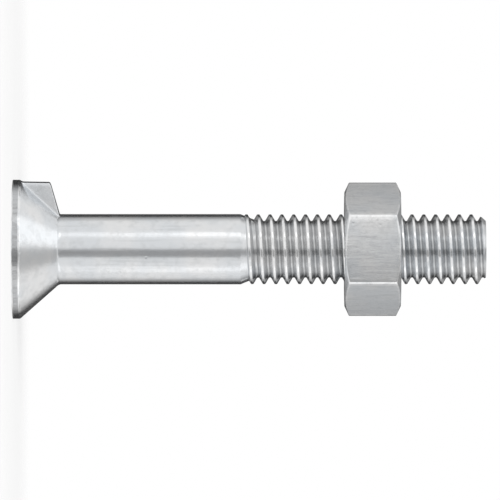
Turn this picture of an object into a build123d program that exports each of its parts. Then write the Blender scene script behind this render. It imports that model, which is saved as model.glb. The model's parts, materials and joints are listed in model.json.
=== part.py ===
from build123d import *
import os
from math import ceil, radians, sqrt, tan

# Countersunk bolt with a nib under its head that stops it turning, and its hexagon nut.
# Millimetres. The bolt stands on its flat head: Z = 0 is the head face, +Z runs along the
# bolt to its tip, and the nib points along -X.

# Bolt
bolt_length = 40.0  # head face to tip
head_diameter = 11.75
head_land = 0.65  # straight rim of the head, before its cone
head_height = 3.94  # head face to where the cone meets the shank

# Nib, a lug forged onto the cone
nib_width = 2.4
nib_height = 3.2  # head face to the nib's outer corner
nib_inset = 0.125  # rim of the head to the nib's outer face
nib_lean = 0.05  # how far the outer face leans in over the nib's height
nib_foot = 0.06  # how far past the cone the nib's sloping end meets the shank
nib_bevel = 0.15  # on the nib's outer edges

# Thread, metric, right-hand
thread_size = 6.0  # nominal diameter
thread_pitch = 1.0
thread_angle = 60.0  # between the two flanks
thread_length = 19.28  # full thread, back from the tip
shank_allowance = 0.06  # nominal diameter less the shank's
crest_allowance = 0.10  # nominal diameter less the thread's over its crests
run_out_length = 1.45  # cone on which the thread fades into the shank
tip_chamfer_length = 0.64
tip_chamfer_depth = 0.56  # radial

# Nut
nut_across_flats = 9.87
nut_height = 4.75
nut_face_inset = 0.11  # flats to the rim of each round end face
nut_chamfer_angle = 25.0  # of the corner chamfers to the end faces
nut_countersink = 0.3  # depth and radial widening of each mouth of the bore
nut_clearance = 0.05  # radial, from the bore to the thread's crests
clamped_length = 28.06  # head face to the nut's bearing face

# Worked out from the sizes above
head_radius = head_diameter / 2
shank_radius = (thread_size - shank_allowance) / 2
crest_radius = (thread_size - crest_allowance) / 2
flank_slope = tan(radians(thread_angle / 2))
sharp_height = thread_pitch / (2 * flank_slope)  # of the thread's full triangle
root_radius = thread_size / 2 - 17 / 24 * sharp_height
thread_start = bolt_length - thread_length
run_out_start = thread_start - run_out_length
tip_radius = shank_radius - tip_chamfer_depth
bore_radius = crest_radius + nut_clearance
ridge_start = run_out_start - thread_pitch  # buried one turn deep in the shank
ridge_overlap = thread_pitch / 8  # how far the ridge's foot reaches into the core
crest_half_width = thread_pitch / 16 + (thread_size / 2 - crest_radius) * flank_slope
foot_half_width = crest_half_width + (crest_radius - root_radius) * flank_slope
thread_turns = ceil((bolt_length + foot_half_width - ridge_start) / thread_pitch)
joining_tolerance = 0.0001  # within which the ridge's turns meet each other and the core


def turned(*outline):
    """Solid of revolution about Z from (radius, height) corners."""
    with BuildPart() as solid:
        with BuildSketch(Plane.XZ):
            with BuildLine():
                Polyline(*outline, close=True)
            make_face()
        revolve(axis=Axis.Z)
    return solid.part


def blank():
    """Head, cone, shank, and the core of the thread at its root diameter."""
    return turned(
        (0, 0),
        (head_radius, 0),
        (head_radius, head_land),
        (shank_radius, head_height),
        (shank_radius, run_out_start),
        (root_radius, thread_start),
        (root_radius, bolt_length),
        (0, bolt_length),
    )


def nib():
    """Slice of a turned form: an outer face just inside the rim, and an end sloping to the shank."""
    outer = head_radius - nib_inset
    lower = head_land / 2
    upper = head_height + nib_foot
    form = turned(
        (0, lower),
        (outer, lower),
        (outer - nib_lean, nib_height),
        (shank_radius, upper),
        (0, upper),
    )
    reach = 2 * head_radius
    lug = form & Pos(-reach / 2, 0, 0) * Box(reach, nib_width, reach)
    bare = [e for e in lug.edges() if e.center().X < -shank_radius and e.center().Z > head_land]
    return chamfer(bare, nib_bevel)


def thread_turn():
    """One turn of a flat-crested ridge on a right-hand helix."""
    inner = root_radius - ridge_overlap
    half_section = [
        (crest_radius, crest_half_width),
        (root_radius, foot_half_width),
        (inner, foot_half_width),
    ]
    lower = [(radius, ridge_start - height) for radius, height in reversed(half_section)]
    upper = [(radius, ridge_start + height) for radius, height in half_section]
    with BuildPart() as turn:
        with BuildSketch(Plane.XZ):
            with BuildLine():
                Polyline(*lower, *upper, close=True)
            make_face()
        with BuildLine():
            Helix(thread_pitch, thread_pitch, root_radius, center=(0, 0, ridge_start))
        sweep(is_frenet=True)
    return turn.part


def tip_limit():
    """Space the tip may fill: under the end face and inside the chamfer's cone."""
    outer = 2 * crest_radius
    slope = tip_chamfer_length / tip_chamfer_depth
    return turned(
        (0, 0),
        (outer, 0),
        (outer, bolt_length - (outer - tip_radius) * slope),
        (tip_radius, bolt_length),
        (0, bolt_length),
    )


def thread():
    """Turns of the ridge stacked a pitch apart, kept inside the tip's chamfer."""
    turn = thread_turn()
    stack = [Pos(0, 0, number * thread_pitch) * turn & tip_limit() for number in range(thread_turns)]
    return [solid for trimmed in stack for solid in trimmed.solids()]


def bolt():
    """The one-piece bolt: blank, nib and cut thread."""
    return (blank() + nib()).fuse(*thread(), tol=joining_tolerance)


def nut():
    """Hexagon nut with a corner along +X and -X, both faces chamfered and countersunk."""
    bearing = clamped_length
    outer = bearing + nut_height
    face = nut_across_flats / 2 - nut_face_inset
    corner = nut_across_flats / sqrt(3)
    drop = (corner - face) * tan(radians(nut_chamfer_angle))
    mouth = bore_radius + nut_countersink
    with BuildPart() as body:
        with BuildSketch(Plane.XY.offset(bearing)):
            RegularPolygon(corner, 6)
        extrude(amount=nut_height)
    body = body.part & turned(
        (0, bearing),
        (face, bearing),
        (corner, bearing + drop),
        (corner, outer - drop),
        (face, outer),
        (0, outer),
    )
    return body - turned(
        (0, bearing),
        (mouth, bearing),
        (bore_radius, bearing + nut_countersink),
        (bore_radius, outer - nut_countersink),
        (mouth, outer),
        (0, outer),
    )


os.makedirs("parts", exist_ok=True)
export_step(bolt(), "parts/bolt.step")
export_step(nut(), "parts/nut.step")
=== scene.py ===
import json
from math import cos, pi, radians, sin, tan

import bmesh
import bpy
import numpy as np
from mathutils import Matrix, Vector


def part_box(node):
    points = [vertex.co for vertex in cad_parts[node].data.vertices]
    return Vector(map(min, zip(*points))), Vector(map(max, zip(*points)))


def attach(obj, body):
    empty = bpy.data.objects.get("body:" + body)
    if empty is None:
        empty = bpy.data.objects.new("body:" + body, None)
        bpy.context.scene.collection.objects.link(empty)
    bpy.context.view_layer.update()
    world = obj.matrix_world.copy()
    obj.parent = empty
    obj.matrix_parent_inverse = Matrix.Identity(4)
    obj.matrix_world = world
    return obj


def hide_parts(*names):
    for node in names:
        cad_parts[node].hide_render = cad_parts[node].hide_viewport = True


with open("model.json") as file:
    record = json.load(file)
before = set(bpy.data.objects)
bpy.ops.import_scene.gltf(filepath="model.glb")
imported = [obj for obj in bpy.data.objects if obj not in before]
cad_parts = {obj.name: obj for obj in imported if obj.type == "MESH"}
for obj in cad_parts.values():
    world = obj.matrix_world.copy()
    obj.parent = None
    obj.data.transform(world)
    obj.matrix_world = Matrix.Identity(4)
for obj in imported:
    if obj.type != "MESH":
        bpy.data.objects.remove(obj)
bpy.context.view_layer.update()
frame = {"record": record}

# A zinc-plated countersunk nib bolt and its hexagon nut. Metres. The bolt stands on its flat
# head at the origin, its tip up +Z, its nib towards -X, and the nut turns corners to +X and -X.

mm = 0.001

# Bolt
bolt_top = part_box("bolt")[1]
head_radius = bolt_top.x
bolt_length = bolt_top.z
mounts = {mount["name"]: mount for mount in frame["record"]["mounts"]}
shank_radius = mounts["shank"]["dims"]["r_mm"] * mm
head_edge = 0.09 * mm  # radius on the edge of the head face
head_land = 0.65 * mm  # straight rim of the head
head_height = 3.94 * mm  # head face to where the cone meets the shank
rim_edge = 0.07 * mm  # rounding where the rim meets the cone
neck_fillet = 0.16 * mm  # where the cone runs into the shank
neck_end = 1.15 * head_height  # above the neck's fillet

# Nib
nib_width = 2.4 * mm
nib_height = 3.2 * mm
nib_inset = 0.125 * mm
nib_lean = 0.05 * mm
nib_foot = 0.06 * mm
nib_edge = 0.22 * mm
nib_corner = 0.38 * mm  # rounding of its outer corner, seen from the side
nib_fillet = 0.13 * mm

# Thread
thread_radius = 3.0 * mm  # nominal
pitch = 1.0 * mm
thread_length = 19.28 * mm  # full thread, back from the tip
flank_angle = radians(30)
flank_slope = tan(flank_angle)
crest_radius = thread_radius - 0.05 * mm
crest_half_width = pitch / 16 + (thread_radius - crest_radius) * flank_slope
crest_edge = 0.05 * mm
sharp_height = pitch / (2 * flank_slope)  # of the thread's full triangle
root_radius = thread_radius - 17 / 24 * sharp_height
root_rounding = sharp_height / 6
run_out_length = 1.45 * mm
run_out_end = bolt_length - thread_length
run_out_start = run_out_end - run_out_length
run_out_fillet = (0.02 * mm, 0.1 * mm)  # least and most, between its cone and the thread
first_crest = run_out_start - pitch  # height of a crest on the +X side, inside the shank
tip_chamfer_length = 0.64 * mm
tip_chamfer_depth = 0.56 * mm
tip_edge = 0.06 * mm
tip_hollow = 0.03 * mm  # depth of the dish in the end face

# Nut
nut_bottom, nut_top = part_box("nut")
nut_apothem = nut_top.y
bearing_height = nut_bottom.z
outer_height = nut_top.z
face_radius = nut_apothem - 0.11 * mm
chamfer_slope = tan(radians(25))
mouth_radius = 3.3 * mm
mouth_edge = 0.03 * mm
minor_radius = 2.5 * mm
major_radius = 3.04 * mm
thread_play = 0.03 * mm  # along the axis, between the nut's flanks and the bolt's
nut_corner = 0.14 * mm
nut_edge = 0.055 * mm
flat_crown = 0.025 * mm  # how much further out the middle of a flat stands than its sides

# Mesh
bolt_columns = 144
nut_columns_per_side = 24
crest_to_root = np.array([0, 0.055, 0.082, 0.104, 0.135, 0.21, 0.29, 0.375, 0.405, 0.45, 0.5])
wide_step = 0.06  # in pitches, between two rows on the thread
merge_distance = 0.2e-6
sharp_fold = radians(32)  # faces that meet at more than this keep a sharp edge

# Finish
clean_roughness = 0.18
most_roughness = 0.262
relief_unit = 0.0035 * mm
mix_share, mix_one, mix_other, mix_result = 0, 6, 7, 2  # sockets of a Mix node for colours


def rounded(one, other, size):
    """The smaller of two radii. Where they differ by less than size, the sharp edge between
    them is replaced by a parabola tangent to both, which lies inside them."""
    share = np.clip(0.5 + 0.5 * (other - one) / size, 0, 1)
    return other + (one - other) * share - size * share * (1 - share)


def filleted(one, other, size):
    """The larger of two radii, with the hollow between them filled by the same parabola."""
    return -rounded(-one, -other, size)


def skin(name, points):
    """Closed smooth-shaded mesh on a grid of points. Each point is joined to the next in its
    row and in its column, points that coincide are merged, and the faces turn outwards."""
    rows, columns = points.shape[:2]
    place = np.arange(rows * columns).reshape(rows, columns)
    corners = [place[:-1, :-1], place[:-1, 1:], place[1:, 1:], place[1:, :-1]]
    faces = np.stack(corners, axis=-1).reshape(-1, 4)
    mesh = bpy.data.meshes.new(name)
    mesh.from_pydata(points.reshape(-1, 3).tolist(), [], faces.tolist())
    shell = bmesh.new()
    shell.from_mesh(mesh)
    bmesh.ops.remove_doubles(shell, verts=shell.verts, dist=merge_distance)
    bmesh.ops.recalc_face_normals(shell, faces=shell.faces)
    shell.to_mesh(mesh)
    shell.free()
    mesh.polygons.foreach_set("use_smooth", np.ones(len(mesh.polygons), bool))
    mesh.set_sharp_from_angle(angle=sharp_fold)
    piece = bpy.data.objects.new(name, mesh)
    bpy.context.scene.collection.objects.link(piece)
    return piece


def around(radius, angle, height):
    """Points from cylindrical coordinates: radius times the angle's cosine and sine, and height."""
    return np.stack([radius * np.cos(angle), radius * np.sin(angle), height], axis=-1)


def column(*shares):
    """Shares as a column, for rows or rings of points."""
    return np.array(shares)[:, None]


def helix_heights(angle, start, low, high, fine_to):
    """Rows of heights that climb with the angle, one pitch in a turn, kept from low to high.
    A row stands at start plus a pitch times (its own phase + angle / full turn - 1). The
    phases repeat each pitch, close together over the crest's edges and in the root. Up to the
    height fine_to, two more rows split each wide step in three. Over the next half turn they
    sink onto the row below them, where their points merge with its points."""
    phases = np.concatenate([crest_to_root, 1 - crest_to_root[-2:0:-1]])
    gaps = np.diff(np.append(phases, 1))
    copies = np.where(gaps > wide_step, 3, 1)
    above = np.concatenate([gap * np.arange(count) / count for gap, count in zip(gaps, copies)])
    turns = int(np.ceil((high - start) / pitch)) + 2
    climbed = np.arange(-1, turns)[:, None] + np.repeat(phases, copies) - 1
    climbed = climbed.reshape(-1, 1) + angle / (2 * pi)
    fine = np.clip(1 + 2 * ((fine_to - start) / pitch - climbed), 0, 1)
    above = np.tile(above, turns + 1)[:, None]
    return np.clip(start + pitch * (climbed + above * fine), low, high)


def beside_crest(height, angle):
    """Distance along the axis from a point to the nearest crest of the bolt's thread."""
    phase = (height - first_crest) / pitch - angle / (2 * pi)
    return np.abs(phase - np.round(phase)) * pitch


def bolt_thread(height, angle):
    """Radius of the thread: a flat crest with rounded edges, straight flanks at 30 degrees,
    and a root that is an arc tangent to both flanks."""
    aside = beside_crest(height, angle)
    flank = crest_radius - (aside - crest_half_width) / flank_slope
    centre = root_radius + root_rounding
    into_root = np.clip(pitch / 2 - aside, 0, root_rounding)
    arc = centre - np.sqrt(root_rounding**2 - into_root**2)
    flank = np.where(into_root < root_rounding * cos(flank_angle), arc, flank)
    return rounded(flank, crest_radius, crest_edge)


def nut_thread(height, angle):
    """Radius of the nut's thread: the bolt's flanks moved back by the play, cut off at the
    minor and the major radius."""
    aside = beside_crest(height, angle) - thread_play
    flank = crest_radius - (aside - crest_half_width) / flank_slope
    return filleted(rounded(flank, major_radius, crest_edge), minor_radius, crest_edge)


def head_and_shank(height):
    """Radius of the turned body: a straight rim, a cone with a rounded edge, and the shank."""
    cone_slope = (head_radius - shank_radius) / (head_height - head_land)
    cone = head_radius - (height - head_land) * cone_slope
    return rounded(filleted(cone, shank_radius, neck_fillet), head_radius, rim_edge)


def nib_crest(height):
    """Distance of the nib's back from the axis: nearly upright, then sloping to the shank."""
    outer = head_radius - nib_inset - nib_lean * height / nib_height
    foot = head_height + nib_foot
    slope = (head_radius - nib_inset - nib_lean - shank_radius) / (foot - nib_height)
    return rounded(outer, shank_radius + (foot - height) * slope, nib_corner)


def with_nib(height, beside):
    """Radius of the head with its nib. The nib's two sides are planes half a width from its
    middle, so at an angle beside it they stand at half the width over the angle's sine."""
    above_zero = 1e-6
    facing = np.maximum(np.abs(np.sin(beside)), above_zero)
    sides = np.where(np.abs(beside) < pi / 2, nib_width / 2 / facing, 0)
    lug = rounded(nib_crest(height), sides, nib_edge)
    return filleted(head_and_shank(height), lug, nib_fillet)


def head_columns(height):
    """Angles of the columns from the nib's middle. In each row they gather at the nib's outer
    edge and at its foot, and ease along the shank to equal steps before the thread."""
    gap = radians(0.7)  # from an edge to the columns on either side of it
    narrowest = radians(2.2)  # from the outer edge to the foot
    lane = np.linspace(-1, 1, bolt_columns + 1)
    crest = np.maximum(nib_crest(height), shank_radius)
    reach = np.clip(head_and_shank(height), shank_radius, head_radius - nib_inset)
    outer = np.arcsin(nib_width / 2 / crest)
    inner = np.maximum(np.arcsin(nib_width / 2 / reach), outer + narrowest)
    middle = np.zeros_like(height)
    stops = [middle, outer - gap, outer + gap, inner - gap, inner + gap, middle + pi]
    lanes = [0, 0.09, 0.17, 0.25, 0.33, 1]
    angle = np.zeros((len(height), bolt_columns + 1))
    for near, far, first, last in zip(stops, stops[1:], lanes, lanes[1:]):
        share = np.clip((np.abs(lane) - first) / (last - first), 0, 1)
        angle += (far - near) * share
    ease = np.clip((height - neck_end) / (2 * head_height), 0, 1)
    ease = ease * ease * (3 - 2 * ease)
    return (angle + (pi * np.abs(lane) - angle) * ease) * np.sign(lane)


def head_face():
    """Rings over the flat head face, then a quarter circle round its edge."""
    inner = head_radius - head_edge
    turn = np.linspace(0, pi / 2, 6)[1:, None]
    face = column(0, 0.3, 0.6, 0.85, 0.97, 1) * inner
    radius = np.concatenate([face, inner + head_edge * np.sin(turn)])
    height = np.concatenate([0 * face, head_edge * (1 - np.cos(turn))])
    columns = head_columns(height)
    return around(radius + 0 * columns, columns + pi, height + 0 * columns)


def head_to_thread():
    """Level rows up the head, the nib and the shank. Each stretch of them is given by its
    first and last height and its number of rows, and they lie closest together over the rim,
    the nib's corner and the neck."""
    stretches = [
        (0.2 * mm, head_land - rim_edge, 3),
        (head_land - rim_edge / 2, head_land + 3 * rim_edge, 7),
        (head_land + 4 * rim_edge, nib_height - 0.25 * mm, 15),
        (nib_height - 0.2 * mm, nib_height + 0.12 * mm, 9),
        (nib_height + 0.16 * mm, head_height - 0.12 * mm, 11),
        (head_height - 0.09 * mm, head_height + 0.3 * mm, 14),
        (neck_end, first_crest - 0.2 * mm, 16),
    ]
    height = np.concatenate([np.linspace(*stretch) for stretch in stretches])[:, None]
    columns = head_columns(height)
    return around(with_nib(height, columns), columns + pi, height + 0 * columns)


def thread_to_tip():
    """Rows that follow the thread's helix, then rings over the slightly hollow end face. The
    thread is cut off outside by the tip's chamfer. On the run-out, what lies under its cone
    is filled up to it, with a fillet between them that grows with the cone's depth."""
    angle = np.linspace(0, 2 * pi, bolt_columns + 1)
    height = helix_heights(angle, first_crest, first_crest, bolt_length, run_out_end + 0.2 * mm)
    depth = (shank_radius - root_radius) / run_out_length * np.maximum(height - run_out_start, 0)
    hollow = np.clip(0.4 * depth, *run_out_fillet)
    radius = filleted(bolt_thread(height, angle), shank_radius - depth, hollow)
    tip_radius = shank_radius - tip_chamfer_depth
    chamfer = tip_radius + (bolt_length - height) * tip_chamfer_depth / tip_chamfer_length
    radius = rounded(radius, chamfer, tip_edge)
    rings = column(0.96, 0.8, 0.5, 0.25, 0) * radius[-1]
    sunk = tip_hollow * column(0.2, 0.6, 0.9, 1, 1)
    end = around(rings, angle, bolt_length - sunk + 0 * rings)
    return np.concatenate([around(radius, angle, height), end])


def bolt_skin():
    """The bolt in one grid, from the middle of its head face to the middle of its tip."""
    return skin("bolt_body", np.concatenate([head_face(), head_to_thread(), thread_to_tip()]))


def nut_outline(angle):
    """Radius of the hexagon at an angle: the distance to the facing flat over the cosine of
    the angle from it, with the corner between it and the next flat rounded. A flat falls away
    from its middle with the square of the distance along it."""
    aside = np.abs((angle % (pi / 3)) - pi / 6)
    facing, next_flat = [
        (nut_apothem - flat_crown * (np.tan(turn) / tan(pi / 6)) ** 2) / np.cos(turn)
        for turn in (aside, pi / 3 - aside)
    ]
    return rounded(facing, next_flat, nut_corner)


def nut_skin():
    """The nut, all the way round its section: bearing face, chamfer, flats, outer chamfer and
    face, and down the threaded bore. The chamfers are cones, so each cuts the flats in arcs:
    its edge stands above the face by its slope times how far the hexagon passes the face."""
    gathering = 0.86  # of a side's columns towards its corners
    share = np.linspace(0, 1, nut_columns_per_side + 1)[:-1]
    side = (share - gathering * np.sin(2 * pi * share) / (2 * pi)) * pi / 3
    angle = np.append((np.arange(6)[:, None] * pi / 3 + side).reshape(-1), 2 * pi)
    outline = nut_outline(angle)
    past = outline - face_radius
    drop = past * chamfer_slope

    face = mouth_radius + column(0, 0.04, 0.3, 0.7, 0.95, 1) * (face_radius - mouth_radius)
    out = column(0.05, 0.25, 0.6) * (past - nut_edge)
    cone = np.concatenate([face_radius + out, [outline - nut_edge]])
    cone_rise = (cone - face_radius) * chamfer_slope
    bend = outline - column(0.45, 0.12, 0) * nut_edge
    bend_rise = drop + column(-0.05, 0.45, 1.1) * nut_edge
    radius = np.concatenate([face + 0 * outline, cone, bend])
    rise = np.concatenate([0 * face + 0 * outline, cone_rise, bend_rise])

    height = outer_height - bearing_height
    edge = bend_rise[-1]
    wall = edge + column(0.03, 0.1, 0.3, 0.5, 0.7, 0.9, 0.97) * (height - 2 * edge)
    outside = np.concatenate([radius, outline + 0 * wall, radius[::-1]])
    levels = np.concatenate([rise, wall, height - rise[::-1]]) + bearing_height

    climb = helix_heights(angle, bearing_height, bearing_height, outer_height, fine_to=0)[::-1]
    mouth = np.maximum(bearing_height - climb, climb - outer_height) + mouth_radius
    bore = filleted(nut_thread(climb, angle), mouth, mouth_edge)
    grid = around(np.concatenate([outside, bore]), angle, np.concatenate([levels, climb]))
    return skin("nut_body", grid)


class Wire:
    """A number, colour or vector on its way between two nodes. Sums, products and powers of
    wires and plain numbers add the Math nodes that work them out."""

    def __init__(self, finish, socket):
        self.finish = finish
        self.socket = socket

    def maths(self, operation, *terms):
        return self.finish.node("ShaderNodeMath", {"operation": operation}, dict(enumerate(terms)))

    def __add__(self, other):
        return self.maths("ADD", self, other)

    def __sub__(self, other):
        return self.maths("SUBTRACT", self, other)

    def __rsub__(self, other):
        return self.maths("SUBTRACT", other, self)

    def __mul__(self, other):
        return self.maths("MULTIPLY", self, other)

    def __truediv__(self, other):
        return self.maths("DIVIDE", self, other)

    def __pow__(self, other):
        return self.maths("POWER", self, other)

    def or_more(self, other):
        return self.maths("MAXIMUM", self, other)

    def or_less(self, other):
        return self.maths("MINIMUM", self, other)

    def turned_from(self, other):
        """Angle, in radians, whose tangent is this over the other."""
        return self.maths("ARCTAN2", self, other)

    __radd__ = __add__
    __rmul__ = __mul__


class Finish:
    """The nodes of one material or of the world."""

    def __init__(self, owner):
        owner.use_nodes = True
        self.tree = owner.node_tree
        self.tree.nodes.clear()

    def node(self, kind, settings=None, inputs=None, output=0):
        """Adds a node, makes its settings, then sets or links its inputs. Returns the output
        asked for, or a list of them, or nothing for a node that has none."""
        made = self.tree.nodes.new(kind)
        for name, value in (settings or {}).items():
            setattr(made, name, value)
        for name, value in (inputs or {}).items():
            if isinstance(value, Wire):
                self.tree.links.new(value.socket, made.inputs[name])
            else:
                made.inputs[name].default_value = value
        if output is None:
            return None
        if isinstance(output, list):
            return [Wire(self, made.outputs[name]) for name in output]
        return Wire(self, made.outputs[output])

    def ends_in(self, kind, shader):
        self.node(kind, inputs={"Surface": shader}, output=None)

    def place_in_mm(self):
        place = self.node("ShaderNodeTexCoord", output="Object")
        return self.stretched(place, (1 / mm, 1 / mm, 1 / mm))

    def stretched(self, vector, scale):
        return self.node("ShaderNodeVectorMath", {"operation": "MULTIPLY"}, {0: vector, 1: scale})

    def noise(self, vector, scale=1.0, detail=2.0, roughness=0.5):
        """Cloudy pattern from 0 to 1, its lumps one over scale across."""
        inputs = {"Vector": vector, "Scale": scale, "Detail": detail, "Roughness": roughness}
        return self.node("ShaderNodeTexNoise", {}, inputs)

    def step(self, value, low, high):
        """0 below low, 1 above high, and smooth between them."""
        inputs = {"Value": value, "From Min": low, "From Max": high}
        return self.node("ShaderNodeMapRange", {"interpolation_type": "SMOOTHSTEP"}, inputs)

    def band(self, value, low, high, edge):
        """1 from low to high, fading to 0 within edge outside them."""
        return self.step(value, low - edge, low) * (1 - self.step(value, high, high + edge))

    def tint(self, share, one, other):
        """Colour between one and other."""
        inputs = {mix_share: share, mix_one: one, mix_other: other}
        return self.node("ShaderNodeMix", {"data_type": "RGBA"}, inputs, mix_result)


def grey(level, blue=1.0):
    """A neutral colour, or a cooler one."""
    return (level, level * (1 + blue) / 2, level * blue, 1.0)


class Plating(Finish):
    """Bright zinc plating: what the bolt and the nut share. Noise scales are lumps to the
    millimetre, and relief is in units of relief_unit."""

    def __init__(self, name):
        self.material = bpy.data.materials.new(name)
        super().__init__(self.material)
        self.place = self.place_in_mm()
        across, deep, self.height = self.node("ShaderNodeSeparateXYZ", {}, {0: self.place}, [0, 1, 2])
        self.radius = (across * across + deep * deep) ** 0.5
        # Passivation film: broad cool and warm clouds, and a finer mottle
        clouds = self.noise(self.place, scale=0.22, detail=3.0)
        mottle = self.noise(self.place, scale=1.6, detail=3.0, roughness=0.6)
        self.colour = self.tint(self.step(clouds, 0.38, 0.64), grey(0.66, 1.06), grey(0.74))
        self.colour = self.tint(0.24 * self.step(mottle, 0.45, 0.7), self.colour, grey(0.5, 1.04))
        # Crystal grain of the zinc, and knocks from the barrel it was plated in
        grain = self.noise(self.place, scale=9.0, detail=3.0, roughness=0.6)
        spots = self.node("ShaderNodeTexVoronoi", {}, {"Vector": self.place, "Scale": 0.9})
        chosen = self.step(self.noise(self.place, scale=0.6, detail=1.0), 0.52, 0.6)
        knocks = (1 - self.step(spots, 0.03, 0.13)) * chosen
        self.roughness = clean_roughness + 0.05 * self.step(mottle, 0.35, 0.7) + 0.03 * grain
        self.relief = 0.4 * grain + 1.1 * mottle - 1.6 * knocks

    def raised(self, height):
        self.relief = self.relief + height

    def shaded(self, share, level):
        """Darkens the metal's colour where share is: painted shade in the thread's grooves, on the
        head's rim and in the nut's bore, and real darker marks along the drawn lines, the sheared tip
        and the scuffed face.
        """
        self.colour = self.tint(share, self.colour, grey(level, 1.03))

    def burnished(self, share):
        """Brightens and smooths the metal in patches where share is, as pieces wear each other's
        edges in the plating barrel."""
        patches = self.noise(self.place, scale=1.3, detail=3.0, roughness=0.6)
        worn = share * self.step(patches, 0.36, 0.56)
        self.colour = self.tint(0.6 * worn, self.colour, grey(0.88))
        self.roughness = self.roughness - 0.07 * worn

    def streaks(self, scales, detail=3.0, roughness=0.7):
        """Noise with its own number of lumps to the millimetre along X, Y and Z."""
        return self.noise(self.stretched(self.place, scales), detail=detail, roughness=roughness)

    def lines(self, lengthways, crossways, strength):
        """Fine drawn lines along the axis, where strength is. Their noise has so many lumps
        to the millimetre lengthways and crossways."""
        fibres = self.streaks((crossways, crossways, lengthways), roughness=0.65)
        self.raised(1.8 * strength * fibres)
        self.roughness = self.roughness + 0.1 * strength * (fibres - 0.5)
        self.shaded(0.3 * strength * self.step(fibres, 0.5, 0.72), 0.42)

    def rings(self, steepness, strength):
        """Fine rings about the axis, where strength is, closer together than the eye can
        count. They change with the radius, and with the height times the steepness."""
        section = self.node("ShaderNodeCombineXYZ", {}, {0: self.radius, 1: steepness * self.height})
        turned = self.noise(section, scale=14.0, roughness=0.6)
        self.raised(1.6 * strength * turned)
        self.roughness = self.roughness + 0.14 * strength * (turned - 0.5)

    def done(self):
        inputs = {"Height": self.relief, "Strength": 1.0, "Distance": relief_unit}
        metal = {
            "Base Color": self.colour,
            "Roughness": self.roughness.or_less(most_roughness),
            "Normal": self.node("ShaderNodeBump", {}, inputs),
            "Metallic": 1.0,
        }
        self.ends_in("ShaderNodeOutputMaterial", self.node("ShaderNodeBsdfPrincipled", {}, metal))
        return self.material


def bolt_finish():
    """Plating over a pressed head, a drawn shank, a rolled thread and a sheared tip."""
    steel = Plating("zinc_plated_bolt")
    land, neck, tip = head_land / mm, head_height / mm, bolt_length / mm
    rim, crest, start = head_radius / mm, crest_radius / mm, run_out_start / mm
    shank = steel.band(steel.height, neck, start, 0.4)
    cone = steel.band(steel.height, land, neck - 0.4, 0.2)
    steel.lines(lengthways=0.12, crossways=3.5, strength=0.7 * shank)
    steel.rings(steepness=5.0, strength=0.5 * cone)

    # Thread: painted shade darkening the grooves, and bright crests worn in patches
    thread = steel.step(steel.height, start, start + 0.8)
    groove_shade = 1 - steel.step(steel.radius, root_radius / mm, crest - 0.1)
    steel.shaded(0.55 * thread * groove_shade, 0.36)
    steel.burnished(thread * steel.step(steel.radius, crest - 0.14, crest - 0.04))

    # Head's rim: streaky relief, with its colour darkened as painted shade that gives it a dark band,
    # between two burnished edges
    outer = steel.step(steel.radius, rim - 0.14, rim - 0.04)
    side = outer * steel.band(steel.height, 0.14, land - 0.12, 0.06)
    rim_streaks = steel.streaks((2.6, 2.6, 0.6), detail=4.0)
    steel.raised(2.0 * side * rim_streaks)
    steel.shaded(side * (0.52 + 0.34 * steel.step(rim_streaks, 0.38, 0.64)), 0.34)
    steel.burnished(outer - side)

    # Ends: both uneven, the tip streaky where the wire was sheared and the head's face scuffed
    face = 1 - steel.step(steel.height, 0.02, 0.06)
    end = steel.step(steel.height, tip - 0.1, tip - 0.06)
    uneven = steel.noise(steel.place, scale=3.0, detail=4.0, roughness=0.6)
    steel.raised(2.0 * (face + end) * uneven)
    sheared = steel.streaks((0.5, 4.5, 0.0))
    steel.raised(5.0 * end * sheared)
    steel.shaded(0.5 * end * steel.step(sheared, 0.42, 0.66), 0.44)
    scuffs = steel.streaks((2.4, 0.35, 0.0), detail=4.0)
    steel.raised(2.5 * face * scuffs)
    steel.shaded(0.3 * face * steel.step(scuffs, 0.5, 0.7), 0.5)
    return steel.done()


def nut_finish():
    """Plating over flats with drawn lines, turned chamfers and faces, and a tapped bore."""
    steel = Plating("zinc_plated_nut")
    corner = nut_apothem / cos(pi / 6) / mm
    past = chamfer_slope * (steel.radius - face_radius / mm)
    below = past - (steel.height - bearing_height / mm)
    above = past - (outer_height / mm - steel.height)
    beyond_cone = below.or_more(above)
    turned = steel.step(beyond_cone, -0.05, -0.01)
    steel.rings(steepness=1.0, strength=turned)
    steel.lines(lengthways=0.35, crossways=3.0, strength=0.8 * (1 - turned))
    steel.burnished(steel.step(steel.radius, corner - 0.3, corner - 0.14))
    steel.burnished((1 - turned) * steel.step(beyond_cone, -0.2, -0.06))
    # Painted shade: the bore's colour darkened towards grey
    bore = 1 - steel.step(steel.radius, minor_radius / mm, mouth_radius / mm)
    steel.shaded(0.6 * bore, 0.34)
    return steel.done()


def dress():
    """Puts the two finished pieces on their bodies, in place of the plain ones."""
    pieces = [(bolt_skin(), "bolt", bolt_finish()), (nut_skin(), "nut", nut_finish())]
    for piece, node, material in pieces:
        piece.data.materials.append(material)
        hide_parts(node)
        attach(piece, node)


def card(name, corners, material):
    """Flat four-cornered sheet for the stage."""
    mesh = bpy.data.meshes.new(name)
    mesh.from_pydata(corners, [], [(0, 1, 2, 3)])
    mesh.materials.append(material)
    sheet = bpy.data.objects.new(name, mesh)
    bpy.context.scene.collection.objects.link(sheet)
    return sheet


def sight(finish):
    """1 for what is seen, straight or in a reflection, and 0 for what only gives light."""
    kinds = ["Is Camera Ray", "Is Glossy Ray", "Is Transmission Ray"]
    straight, mirrored, through = finish.node("ShaderNodeLightPath", output=kinds)
    return straight.or_more(mirrored).or_more(through)


def glow(finish, colour):
    return finish.node("ShaderNodeEmission", {}, {"Color": colour, "Strength": 1.0})


def blend(finish, share, one, other):
    """Shader between one and other."""
    return finish.node("ShaderNodeMixShader", {}, {0: share, 1: one, 2: other})


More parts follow.
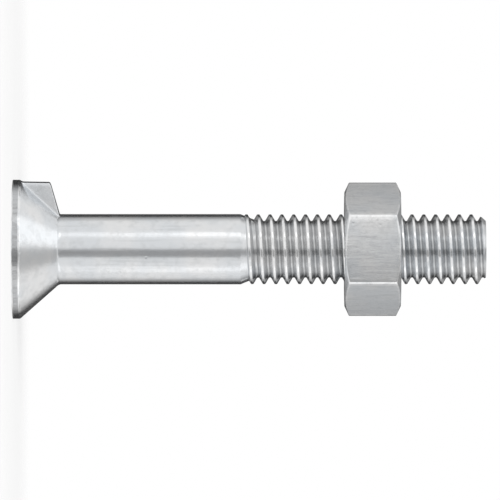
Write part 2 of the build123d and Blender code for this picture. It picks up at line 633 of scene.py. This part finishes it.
def pale_floor():
    """White floor that keeps the object's shadow and fades out before its rim. It lies a hair
    above the head face, so that the face is seen whole from below. The metal doesn't mirror
    it, so the head has the same dark edges as the shank."""
    level = 0.02 * mm
    reach = 1.6 * bolt_length
    material = bpy.data.materials.new("pale_floor")
    finish = Finish(material)
    place = finish.node("ShaderNodeTexCoord", output="Object")
    distance = finish.node("ShaderNodeVectorMath", {"operation": "LENGTH"}, {0: place}, "Value")
    paint = finish.node("ShaderNodeBsdfDiffuse", {}, {"Color": grey(0.92)})
    lit = blend(finish, 0.6 * sight(finish), paint, glow(finish, grey(1.0)))
    rim = finish.step(distance, 0.5 * bolt_length, 1.5 * bolt_length)
    faded = blend(finish, rim, lit, finish.node("ShaderNodeBsdfTransparent"))
    finish.ends_in("ShaderNodeOutputMaterial", faded)
    corners = [(-reach, -reach), (reach, -reach), (reach, reach), (-reach, reach)]
    floor = card("floor", [(*corner, level) for corner in corners], material)
    floor.visible_glossy = False


def fading(finish, level, near, far):
    """Grey that pales to white from one angle to another, in degrees to either side of +Y."""
    place = finish.node("ShaderNodeTexCoord", output="Object")
    across, deep = finish.node("ShaderNodeSeparateXYZ", {}, {0: place}, [0, 1])
    turn = across.or_more(0 - across).turned_from(deep)
    return finish.tint(finish.step(turn, radians(near), radians(far)), grey(level), grey(1.0))


def flag(name, corners, level, fade=None):
    """Card seen only in the metal, which gives it a darker stretch to mirror. With a fade,
    two angles, it pales to white between them, so that what is round looks round in it."""
    material = bpy.data.materials.new(name)
    finish = Finish(material)
    colour = fading(finish, level, *fade) if fade else grey(level)
    finish.ends_in("ShaderNodeOutputMaterial", glow(finish, colour))
    sheet = card(name, corners, material)
    sheet.visible_camera = False
    sheet.visible_diffuse = False
    sheet.visible_shadow = False


def side_flag(name, azimuth, width, low, high, level, fade=None):
    """Upright flag, five bolts away. It spans width degrees about its azimuth, which is from
    +Y towards +X, and stands from low to high, in metres from the floor."""
    away = 5 * bolt_length
    first, last = radians(azimuth - width / 2), radians(azimuth + width / 2)
    near = (away * sin(first), away * cos(first))
    far = (away * sin(last), away * cos(last))
    flag(name, [(*near, low), (*far, low), (*far, high), (*near, high)], level, fade)


def top_flag(name, left, right, front, back, height, level):
    """Level flag above the object, its sides given along X and Y."""
    corners = [(left, front), (right, front), (right, back), (left, back)]
    flag(name, [(*corner, height) for corner in corners], level)


def white_world():
    """White where it is seen, and a plain soft light on everything."""
    world = bpy.data.worlds.new("white_world")
    bpy.context.scene.world = world
    finish = Finish(world)
    ambient = 0.45
    strength = ambient + (1 - ambient) * sight(finish)
    sky = finish.node("ShaderNodeBackground", {}, {"Color": grey(1.0), "Strength": strength})
    finish.ends_in("ShaderNodeOutputWorld", sky)


def softbox(name, place, width, height, brightness):
    """Area lamp aimed at the middle of the bolt. Its power is its brightness times pi and its
    area. Returns the lamp's object."""
    overhead = 0.9  # past this steepness its sides are squared to Y instead of Z
    lamp = bpy.data.lights.new(name, "AREA")
    lamp.shape = "RECTANGLE"
    lamp.size = width
    lamp.size_y = height
    lamp.energy = brightness * pi * width * height
    box = bpy.data.objects.new(name, lamp)
    bpy.context.scene.collection.objects.link(box)
    back = np.array(place) - [0, 0, bolt_length / 2]
    back = back / np.linalg.norm(back)
    side = np.cross([0, 1, 0] if abs(back[2]) > overhead else [0, 0, 1], back)
    side = side / np.linalg.norm(side)
    upright = np.cross(back, side)
    turn = Matrix(np.stack([side, upright, back], axis=1).tolist()).to_4x4()
    box.matrix_world = Matrix.Translation(place) @ turn
    return box


def studio():
    """Floor and world, three soft lamps and a fourth that lights only the floor, and the
    flags, which are darkest behind the object and paler around and above it."""
    pale_floor()
    white_world()
    softbox("top_box", (-0.14, -0.06, 0.42), width=0.24, height=0.24, brightness=0.45)
    softbox("key_box", (-0.30, -0.26, 0.16), width=0.12, height=0.34, brightness=0.7)
    softbox("fill_box", (0.34, -0.12, 0.16), width=0.16, height=0.34, brightness=0.4)
    floor_box = softbox("floor_box", (-0.03, -0.27, 0.40), width=0.16, height=0.16, brightness=15.0)
    floor_box.visible_glossy = False
    side_flag("back_flag", azimuth=0, width=96, low=-0.02, high=0.07, level=0.06)
    side_flag("low_flag", azimuth=0, width=96, low=-0.12, high=-0.02, level=0.3)
    side_flag("high_flag", azimuth=0, width=80, low=0.07, high=0.32, level=0.35)
    side_flag("front_flag", azimuth=167, width=26, low=-0.12, high=0.3, level=0.4)
    side_flag("left_flag", azimuth=-64, width=32, low=-0.12, high=0.14, level=0.33, fade=(48, 80))
    side_flag("right_flag", azimuth=64, width=32, low=-0.12, high=0.14, level=0.33, fade=(48, 80))
    top_flag("top_flag", left=-0.02, right=0.16, front=-0.14, back=0.16, height=0.40, level=0.55)


def side_camera():
    """Looks along +Y with the bolt lying across the view, its head at the left."""
    lens, sensor = 600.0, 36.0
    view_width = 1.057 * bolt_length
    aim = (0.0016 * bolt_length, 0, 0.5019 * bolt_length)
    away = view_width * lens / sensor
    camera = bpy.data.cameras.new("camera")
    camera.lens = lens
    camera.sensor_width = sensor
    camera.clip_start = 0.01
    camera.clip_end = 10
    stand = bpy.data.objects.new("camera", camera)
    bpy.context.scene.collection.objects.link(stand)
    right, up, back = (0, 0, 1), (-1, 0, 0), (0, -1, 0)
    turn = Matrix(np.stack([right, up, back], axis=1).tolist()).to_4x4()
    stand.matrix_world = Matrix.Translation((aim[0], aim[1] - away, aim[2])) @ turn
    bpy.context.scene.camera = stand


dress()
studio()
side_camera()
bpy.context.scene.view_settings.view_transform = "Standard"
